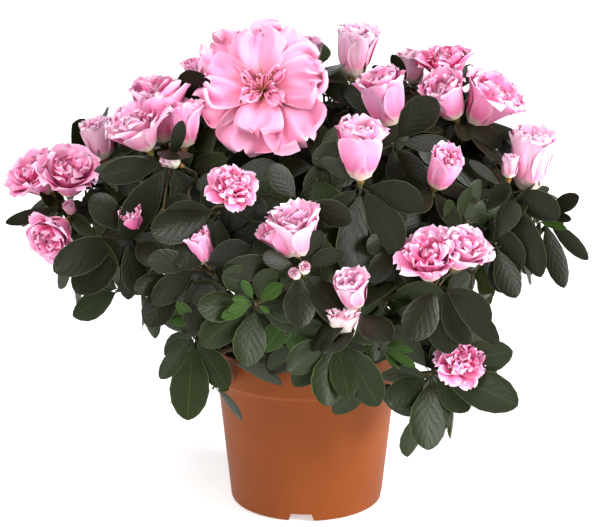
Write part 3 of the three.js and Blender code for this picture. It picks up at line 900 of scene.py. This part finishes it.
def whorl(one, draw):
    """The leaves of one shoot: a ring at its tip and a few more down the twig."""
    axis = one["axis"]
    level = axis.cross(UP if abs(axis.z) < 0.9 else Vector((0, 1, 0))).normalized()
    other = axis.cross(level)
    leaves = [clock_leaf(one, hand, draw) for hand in one["hands"]]
    start = draw.uniform(0, 2 * math.pi)
    lower = round(one["leaves"] * 0.55)
    for i in range(one["leaves"] + lower):
        in_ring = i < one["leaves"]
        count = one["leaves"] if in_ring else lower
        angle = start + 2 * math.pi * (i + (0 if in_ring else 0.5)) / count + draw.uniform(-0.3, 0.3)
        outward = level * math.cos(angle) + other * math.sin(angle)
        spread = math.radians(draw.uniform(*WHORL_SPREAD) + (0 if in_ring else 8))
        ahead = axis * math.cos(spread) + outward * math.sin(spread)
        below = draw.uniform(2, 6) * MM if in_ring else draw.uniform(9, 24) * MM
        length = one["leaf"] * draw.uniform(0.72, 1.12)
        base = one["place"] - axis * below
        if in_gap(base + ahead * length * 0.6) or in_gap(base + ahead * length):
            continue
        leaves.append({
            "base": base, "ahead": ahead, "face": axis * math.sin(spread) - outward * math.cos(spread),
            "length": length, "breadth": length * LEAF_BREADTH * draw.uniform(0.88, 1.12),
            "droop": draw.uniform(0.15, 0.95), "cup": draw.uniform(0.08, 0.3),
            "wave": draw.uniform(0.0, 0.06)})
    return leaves


def leaf_material(name, top, rib, edge_highlight, under, roughness):
    """A leaf's colours run across its own map: the top is the left half, the underside the right."""
    material, shader = new_material(name, top, roughness)
    nodes, links = material.node_tree.nodes, material.node_tree.links
    leaf_map = nodes.new("ShaderNodeUVMap")
    leaf_map.uv_map = "OFBake"
    split = nodes.new("ShaderNodeSeparateXYZ")
    ramp = nodes.new("ShaderNodeValToRGB")
    # The pale stops at the top's two edges are a painted highlight, the light that the curled-under edge
    # catches.
    stops = [(0.0, edge_highlight), (0.016, top), (0.24, top), (0.25, rib), (0.26, top), (0.484, top),
             (0.499, edge_highlight), (0.505, under), (0.738, under), (0.75, rib), (0.762, under), (1.0, under)]
    elements = ramp.color_ramp.elements
    for index, (position, colour) in enumerate(stops):
        stop = elements[index] if index < 2 else elements.new(position)
        stop.position = position
        stop.color = colour
    from_rib = nodes.new("ShaderNodeMath")
    from_rib.operation = "PINGPONG"
    from_rib.inputs[1].default_value = 0.25
    slant = nodes.new("ShaderNodeMath")
    slant.operation = "MULTIPLY_ADD"
    slant.inputs[1].default_value = 1.6
    ripple = nodes.new("ShaderNodeMath")
    ripple.operation = "MULTIPLY"
    ripple.inputs[1].default_value = 38
    veins = nodes.new("ShaderNodeMath")
    veins.operation = "SINE"
    stretch = nodes.new("ShaderNodeMapping")
    stretch.inputs["Scale"].default_value = (34, 20, 1)
    wrinkles = nodes.new("ShaderNodeTexNoise")
    wrinkles.inputs["Scale"].default_value = 1
    wrinkles.inputs["Detail"].default_value = 3
    height = nodes.new("ShaderNodeMath")
    height.operation = "MULTIPLY_ADD"
    height.inputs[1].default_value = 5
    bump = nodes.new("ShaderNodeBump")
    bump.inputs["Strength"].default_value = 0.34
    bump.inputs["Distance"].default_value = 0.1 * MM
    shader.inputs["Specular IOR Level"].default_value = 0.21
    links.new(leaf_map.outputs["UV"], split.inputs["Vector"])
    links.new(split.outputs["X"], ramp.inputs["Fac"])
    links.new(ramp.outputs["Color"], shader.inputs["Base Color"])
    links.new(split.outputs["X"], from_rib.inputs[0])
    links.new(from_rib.outputs["Value"], slant.inputs[0])
    links.new(split.outputs["Y"], slant.inputs[2])
    links.new(slant.outputs["Value"], ripple.inputs[0])
    links.new(ripple.outputs["Value"], veins.inputs[0])
    links.new(leaf_map.outputs["UV"], stretch.inputs["Vector"])
    links.new(stretch.outputs["Vector"], wrinkles.inputs["Vector"])
    links.new(wrinkles.outputs["Fac"], height.inputs[0])
    links.new(veins.outputs["Value"], height.inputs[2])
    links.new(height.outputs["Value"], bump.inputs["Height"])
    links.new(bump.outputs["Normal"], shader.inputs["Normal"])
    return material


def mapped(piece, corner_maps, copies):
    """Lays every copy of a shape on the same place of the map."""
    layer = piece.data.uv_layers.new(name="OFBake")
    layer.data.foreach_set("uv", np.tile(corner_maps.reshape(-1), copies).astype(np.float32))


def leaf_piece(name, leaves, material):
    faces, maps = leaf_faces()
    points = blades(leaves)
    piece = joined_mesh(name, points.reshape(-1, 3),
                        repeated(faces, len(leaves), LEAF_ROWS * LEAF_RING), material)
    mapped(piece, maps, len(leaves))
    only(piece)
    bpy.ops.object.shade_smooth_by_angle(angle=math.radians(60))
    return piece


leaf_draw = random.Random(17)
leaf_tones = {"dark": [], "deep": [], "fresh": []}
for one in all_shoots:
    tone = one["tone"]
    if not tone:
        weights = [2, 6, 0.2] if one["place"].z < 18 * CM else [6, 3, 0]
        tone = leaf_draw.choices(["dark", "deep", "fresh"], weights)[0]
    leaf_tones[tone] += whorl(one, leaf_draw)

# Each tone: top, midrib, pale edge line (a painted highlight), underside and roughness.
leaf_looks = {
    "dark": (paint(22, 24, 8), paint(35, 40, 14), paint(74, 80, 54), paint(50, 58, 24), 0.42),
    "deep": (paint(28, 37, 9), paint(48, 60, 20), paint(78, 88, 52), paint(60, 74, 28), 0.42),
    "fresh": (paint(38, 64, 10), paint(80, 112, 34), paint(90, 116, 44), paint(84, 112, 40), 0.46),
}
for tone, leaves in leaf_tones.items():
    tone_material = leaf_material("leaf_" + tone, *leaf_looks[tone])
    leaf_piece("leaves_" + tone, leaves, tone_material)
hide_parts(*mass_names)


# ---- Blooms -----------------------------------------------------------------------------------
# Double azalea flowers: several layers of thin ruffled petals round a short tube, from tight
# frilled buds to flat open flowers. Petals are paler at their frilled edge and deeper in the throat.

PETAL_ROWS = 9
PETAL_COLUMNS = 10
# Layers of each kind of bloom, from the outside in: number of petals, length and half breadth as
# shares of the longest petal, the angle from the axis in degrees at the claw, in the middle and at
# the end, and how deep the ruffles are.
BLOOM_LAYERS = {
    "open": [(6, 1.0, 0.5, 14, 84, 96, 0.14), (4, 0.86, 0.54, 12, 70, 86, 0.19),
             (4, 0.46, 0.3, 10, 50, 74, 0.24), (8, 0.28, 0.19, 8, 34, 70, 0.24)],
    "half": [(5, 1.0, 0.43, 86, 18, 62, 0.06), (5, 0.97, 0.4, 78, 12, 44, 0.07),
             (4, 0.93, 0.36, 62, 6, 28, 0.09), (4, 0.86, 0.3, 42, 2, 18, 0.1),
             (3, 0.78, 0.24, 20, 0, 10, 0.1)],
    "cup": [(5, 1.0, 0.4, 88, 3, 26, 0.045), (5, 0.98, 0.38, 80, 2, 20, 0.06),
            (4, 0.93, 0.34, 60, 0, 16, 0.09), (4, 0.86, 0.28, 36, 0, 12, 0.1),
            (3, 0.78, 0.22, 14, 0, 8, 0.1)],
    "bud": [(5, 1.0, 0.37, 88, 0, 14, 0.035), (5, 0.97, 0.34, 72, 0, 12, 0.06),
            (4, 0.9, 0.29, 46, 0, 12, 0.09), (3, 0.84, 0.23, 18, 0, 8, 0.09)],
    "rosette": [(6, 1.0, 0.42, 84, 40, 84, 0.1), (6, 0.98, 0.38, 74, 28, 62, 0.12),
                (6, 0.95, 0.35, 58, 16, 42, 0.13), (5, 0.91, 0.31, 36, 8, 26, 0.13),
                (5, 0.87, 0.27, 14, 0, 12, 0.12)],
}
# How far the petals of each kind wrap round, how far up the round base reaches, where they are
# broadest, and how deep the nicks in their edge are.
BLOOM_WRAP = {"open": 3.0, "half": 1.25, "cup": 1.12, "bud": 1.05, "rosette": 1.4}
BLOOM_BASE = {"open": 0.13, "half": 0.19, "cup": 0.24, "bud": 0.24, "rosette": 0.17}
BLOOM_BROADEST = {"open": 0.8, "half": 0.66, "cup": 0.62, "bud": 0.6, "rosette": 0.66}
BLOOM_NICKS = {"open": 0.06, "half": 0.028, "cup": 0.024, "bud": 0.024, "rosette": 0.03}
# Painted shade: petals further in take the next deeper tint than the outer ones, for the shade in the
# bloom's hollows.
INNER_SHADE_TINT = {"cream": "pale", "pale": "mid", "mid": "deep", "deep": "deep", "open": "open"}


def petal_outline(share, broadest):
    """Half the petal's width along its length: a narrow claw, then a broad limb with a round end."""
    rise = 0.24 + 0.76 * np.sin(np.clip(share / broadest, 0, 1) * math.pi / 2) ** 1.2
    past = np.clip((share - broadest) / (1 - broadest), 0, 1)
    return rise * np.sqrt(1 - 0.88 * past ** 2.6)


def petal_sheets(petals, rows, columns):
    """Points of every petal. Each rises from the tube, bends outwards, wraps and ruffles."""
    def column(key):
        return np.array([petal[key] for petal in petals])[:, None, None]
    v = 1 - (1 - np.linspace(0, 1, rows)) ** 1.35
    step = np.diff(v, prepend=0)[None, :, None]
    v = v[None, :, None]
    u = np.linspace(-1, 1, columns)[None, None, :]
    length = column("length")
    claw = np.exp(-(v / column("round")) ** 2)
    angle = (column("middle") + (column("first") - column("middle")) * claw
             + (column("last") - column("middle")) * v ** 2.5)
    radial = column("inner") + np.cumsum(np.sin(angle) * step, axis=1) * length
    axial = np.cumsum(np.cos(angle) * step, axis=1) * length
    half = column("breadth") * petal_outline(v, column("broadest"))
    wrap = radial * column("wrap") + 1.5 * MM
    swing = np.clip(u * half / wrap, -2.2, 2.2)
    sideways = wrap * np.sin(swing)
    inwards = wrap * (1 - np.cos(swing))
    phase = column("phase")
    nicks = np.sin(u * column("frill_count") + phase) + 0.35 * np.sin(u * column("frill_count") * 2.1)
    forward = column("nick") * length * v ** 5 * nicks
    folds = v ** 1.5 * (0.35 + 0.65 * np.abs(u)) * np.sin(u * column("wave_count") + phase)
    rim = np.maximum(np.abs(u) ** 3 * v, v ** 6)
    frill = 0.5 * rim * np.sin(u * column("frill_count") * 1.3 + 4 * v + 2 * phase)
    folds = folds + 0.35 * v ** 2 * np.sin(u * column("wave_count") * 1.9 + 7 * v + 3 * phase)
    lift = column("ruffle") * length * (folds + frill) - inwards
    radial_place = radial + np.sin(angle) * forward + np.cos(angle) * lift
    axial_place = axial + np.cos(angle) * forward - np.sin(angle) * lift
    base, axis, out = (np.array([petal[key] for petal in petals])[:, None, None]
                       for key in ("base", "axis", "out"))
    around = np.cross(axis, out)
    return (base + axis * axial_place[..., None] + out * radial_place[..., None]
            + around * sideways[..., None])


def sheet_faces(rows, columns):
    """Faces of one sheet and the map place of every face corner."""
    faces, maps = [], []
    for row in range(rows - 1):
        for j in range(columns - 1):
            corners = [(row, j), (row, j + 1), (row + 1, j + 1), (row + 1, j)]
            faces.append([r * columns + c for r, c in corners])
            maps.append([[c / (columns - 1), r / (rows - 1)] for r, c in corners])
    return np.array(faces), np.array(maps)


def axis_frame(axis):
    """Two directions square to an axis."""
    level = axis.cross(UP if abs(axis.z) < 0.9 else Vector((0, 1, 0))).normalized()
    return level, axis.cross(level)


def bloom_petals(one, draw):
    """All the petals of one bloom, layer by layer from the outside in."""
    petals = []
    level, other = axis_frame(one["axis"])
    kind = one["kind"]
    start = draw.uniform(0, 2 * math.pi)
    opening = draw.uniform(0.9, 1.12)
    waves, frills = ((4.5, 7.5), (6, 11)) if kind == "open" else ((3.6, 6.4), (5, 8))
    for layer, (count, length, breadth, first, middle, last, ruffle) in enumerate(BLOOM_LAYERS[kind]):
        for i in range(count):
            turn = start + 2 * math.pi * (i + 0.5 * layer) / count + draw.uniform(-0.16, 0.16)
            out = level * math.cos(turn) + other * math.sin(turn)
            size = one["size"] * length * draw.uniform(0.9, 1.07)
            petals.append({
                "base": one["place"] + one["axis"] * layer * 0.4 * MM, "axis": one["axis"], "out": out,
                "length": size, "breadth": size * breadth * draw.uniform(0.9, 1.12),
                "first": math.radians(first), "middle": math.radians(middle + draw.uniform(-6, 6)),
                "last": math.radians(last * opening + draw.uniform(-14, 12)),
                "inner": (1.9 - 0.3 * layer) * MM, "wrap": BLOOM_WRAP[kind],
                "ruffle": ruffle * draw.uniform(0.7, 1.25),
                "wave_count": draw.uniform(*waves), "frill_count": draw.uniform(*frills),
                "nick": BLOOM_NICKS[kind] * draw.uniform(0.6, 1.3), "round": BLOOM_BASE[kind],
                "broadest": BLOOM_BROADEST[kind], "layer": layer,
                "phase": draw.uniform(0, 2 * math.pi)})
    return petals


def petal_material(name, base, throat, body, rim, edge):
    """A petal's colours run along its own map, from the claw to the frilled edge."""
    material, shader = new_material(name, body, 0.55)
    nodes, links = material.node_tree.nodes, material.node_tree.links
    petal_map = nodes.new("ShaderNodeUVMap")
    petal_map.uv_map = "OFBake"
    split = nodes.new("ShaderNodeSeparateXYZ")
    along = nodes.new("ShaderNodeValToRGB")
    stops = [(0.0, base), (0.1, base), (0.26, throat), (0.52, body), (0.88, rim), (1.0, edge)]
    elements = along.color_ramp.elements
    for index, (position, colour) in enumerate(stops):
        stop = elements[index] if index < 2 else elements.new(position)
        stop.position = position
        stop.color = colour
    across = nodes.new("ShaderNodeValToRGB")
    sides = across.color_ramp.elements
    sides[0].position, sides[0].color = 0.0, (1, 1, 1, 1)
    sides[1].position, sides[1].color = 1.0, (1, 1, 1, 1)
    for position in (0.12, 0.88):
        sides.new(position).color = (0, 0, 0, 1)
    blend = nodes.new("ShaderNodeMix")
    blend.data_type = "RGBA"
    blend.inputs["B"].default_value = edge
    shader.inputs["Subsurface Weight"].default_value = 0.35
    shader.inputs["Subsurface Radius"].default_value = (1.0, 0.4, 0.6)
    shader.inputs["Subsurface Scale"].default_value = 3 * MM
    reach = nodes.new("ShaderNodeMath")
    reach.operation = "MULTIPLY"
    links.new(petal_map.outputs["UV"], split.inputs["Vector"])
    links.new(split.outputs["Y"], along.inputs["Fac"])
    links.new(split.outputs["X"], across.inputs["Fac"])
    links.new(across.outputs["Color"], reach.inputs[0])
    links.new(split.outputs["Y"], reach.inputs[1])
    links.new(reach.outputs["Value"], blend.inputs["Factor"])
    links.new(along.outputs["Color"], blend.inputs["A"])
    links.new(blend.outputs["Result"], shader.inputs["Base Color"])
    return material


bloom_draw = random.Random(41)
petal_tints = {"deep": [], "mid": [], "pale": [], "cream": [], "open": []}
blooming = [one for one in all_shoots if one["kind"] != "leafy"]
for one in blooming:
    tint = "open" if one["kind"] == "open" else one["tint"]
    for petal in bloom_petals(one, bloom_draw):
        # Petals past the second layer take the deeper tint as painted shade in the hollows.
        petal_tints[INNER_SHADE_TINT[tint] if petal["layer"] > 1 else tint].append(petal)

petal_looks = {
    "deep": (paint(238, 214, 190), paint(220, 56, 116), paint(242, 102, 160), paint(249, 138, 188),
             paint(252, 200, 224)),
    "mid": (paint(240, 222, 196), paint(236, 110, 158), paint(248, 150, 196), paint(250, 170, 210),
            paint(252, 210, 230)),
    "pale": (paint(242, 230, 206), paint(240, 142, 178), paint(249, 176, 210), paint(250, 196, 222),
             paint(252, 224, 238)),
    "cream": (paint(206, 214, 156), paint(244, 234, 214), paint(248, 222, 220), paint(250, 212, 222),
              paint(250, 176, 202)),
    "open": (paint(128, 104, 46), paint(226, 128, 154), paint(245, 154, 191), paint(247, 166, 200),
             paint(249, 186, 212)),
}
for tint, petals in petal_tints.items():
    rows, columns = (15, 23) if tint == "open" else (PETAL_ROWS, PETAL_COLUMNS)
    petal_faces, petal_maps = sheet_faces(rows, columns)
    sheets = petal_sheets(petals, rows, columns).reshape(-1, 3)
    piece = joined_mesh("petals_" + tint, sheets, repeated(petal_faces, len(petals), rows * columns),
                        petal_material("petal_" + tint, *petal_looks[tint]))
    mapped(piece, petal_maps, len(petals))


# ---- Stamens ----------------------------------------------------------------------------------
# The few thin filaments in the throat of a wide open flower, each ending in a brown anther. They
# are bent tubes that spring from the bottom of the throat.

STAMENS = 9
THREAD_BASE = 0.4 * MM
THREAD_END = 0.28 * MM
ANTHER_LENGTH = 2.2 * MM
ANTHER_WIDTH = 0.75 * MM
ANTHER_END = 0.5 * MM


def stamens_of(one, draw):
    """The filaments and the anthers of one flower."""
    level, other = axis_frame(one["axis"])
    threads, tips = [], []
    start = one["place"] + one["axis"] * 3 * MM
    for i in range(STAMENS):
        turn = 2 * math.pi * i / STAMENS + draw.uniform(-0.3, 0.3)
        lean = math.radians(draw.uniform(12, 40))
        outward = level * math.cos(turn) + other * math.sin(turn)
        way = one["axis"] * math.cos(lean) + outward * math.sin(lean)
        end = start + way * one["size"] * draw.uniform(0.3, 0.46)
        bend = start.lerp(end, 0.5) + one["axis"] * 1.5 * MM
        threads.append((start, bend, end, THREAD_BASE, THREAD_END))
        tips.append((end, end + way * ANTHER_LENGTH / 2, end + way * ANTHER_LENGTH, ANTHER_WIDTH,
                     ANTHER_END))
    return threads, tips


stamen_draw = random.Random(67)
filaments, anthers = [], []
for one in blooming:
    if one["kind"] == "open":
        threads, tips = stamens_of(one, stamen_draw)
        filaments += threads
        anthers += tips
filament_material, filament_shader = new_material("filament", paint(226, 140, 150), 0.5)
tint_unevenly(filament_material, filament_shader, paint(230, 146, 160), paint(206, 140, 96), 90)
anther_material, anther_shader = new_material("anther", paint(120, 66, 30), 0.7)
tint_unevenly(anther_material, anther_shader, paint(124, 68, 30), paint(92, 46, 22), 300)
tubes("filaments", filaments, filament_material)
tubes("anthers", anthers, anther_material)


# ---- Bud scales -------------------------------------------------------------------------------
# The papery orange-brown scales that hold the base of every bloom. They are small pointed sheets
# set in a close spiral, made as petals are, and green at their foot.

SCALE_ROWS = 6
SCALE_COLUMNS = 5
SCALES = 9
SCALES_A_TURN = 4.5
LONGEST_SCALE = 10 * MM


def scales_of(one, draw):
    """The scales of one bloom, in the form that petal_sheets takes."""
    level, other = axis_frame(one["axis"])
    scales = []
    for i in range(SCALES):
        turn = 2 * math.pi * i / SCALES_A_TURN + draw.uniform(-0.2, 0.2)
        length = min(one["size"] * 0.3, LONGEST_SCALE) * draw.uniform(0.7, 1.15)
        scales.append({
            "base": one["place"] - one["axis"] * (3 + 0.25 * i) * MM, "axis": one["axis"],
            "out": level * math.cos(turn) + other * math.sin(turn), "length": length,
            "breadth": length * 0.3, "first": math.radians(50), "middle": math.radians(16),
            "last": math.radians(draw.uniform(0, 30)), "inner": 0.8 * MM, "wrap": 1.2,
            "ruffle": 0.01, "wave_count": 3, "frill_count": 3, "nick": 0,
            "round": 0.2, "broadest": 0.5, "phase": draw.uniform(0, 6)})
    return scales


scale_draw = random.Random(53)
scales = [scale for one in blooming for scale in scales_of(one, scale_draw)]
scale_faces, scale_maps = sheet_faces(SCALE_ROWS, SCALE_COLUMNS)
scale_material = petal_material("bud_scale", paint(112, 122, 58), paint(130, 104, 50),
                                paint(158, 100, 46), paint(172, 108, 52), paint(190, 144, 96))
scale_piece = joined_mesh("bud_scales", petal_sheets(scales, SCALE_ROWS, SCALE_COLUMNS).reshape(-1, 3),
                          repeated(scale_faces, len(scales), SCALE_ROWS * SCALE_COLUMNS),
                          scale_material)
mapped(scale_piece, scale_maps, len(scales))
